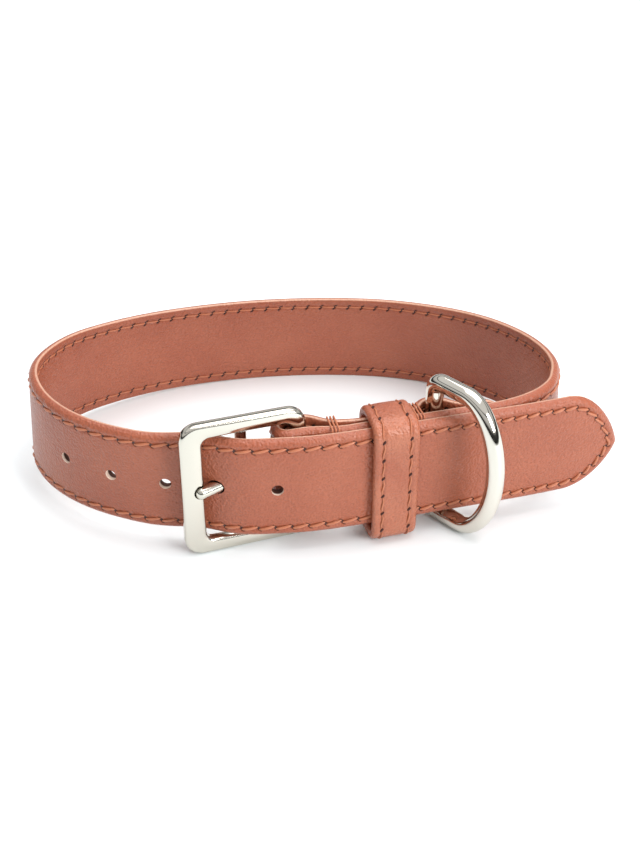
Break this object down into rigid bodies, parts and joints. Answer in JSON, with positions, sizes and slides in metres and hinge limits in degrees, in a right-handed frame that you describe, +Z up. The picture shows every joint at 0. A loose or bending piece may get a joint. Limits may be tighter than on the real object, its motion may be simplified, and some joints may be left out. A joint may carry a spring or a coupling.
{
  "type": "dog collar",
  "caption": "Stitched leather dog collar closed through a rectangular prong buckle, with a pointed free end, a leather keeper and a D ring for a lead, standing on its edge.",
  "frame": {"origin": "on the floor under the middle of the whole collar's outline", "axes": "+Z up along the strap's width, -Y to the front with the buckle, +X the way the free end points"},
  "size_m": [0.1398, 0.0825, 0.0382],
  "materials": {
    "tan_leather": "smooth semi-matt",
    "polished_nickel": "polished, slightly warm"
  },
  "bodies": {
    "collar": {"strap": "tan_leather", "keeper": "tan_leather", "buckle_frame": "polished_nickel", "buckle_prong": "polished_nickel"},
    "ring": {"d_ring": "polished_nickel"}
  },
  "joints": [
    {"name": "d_ring_swing", "type": "hinge", "parent": "collar", "child": "ring", "pos_m": [0.02625, -0.0235, 0.01915], "axis": [0, 0, 1], "range_deg": [-46, 18]}
  ]
}
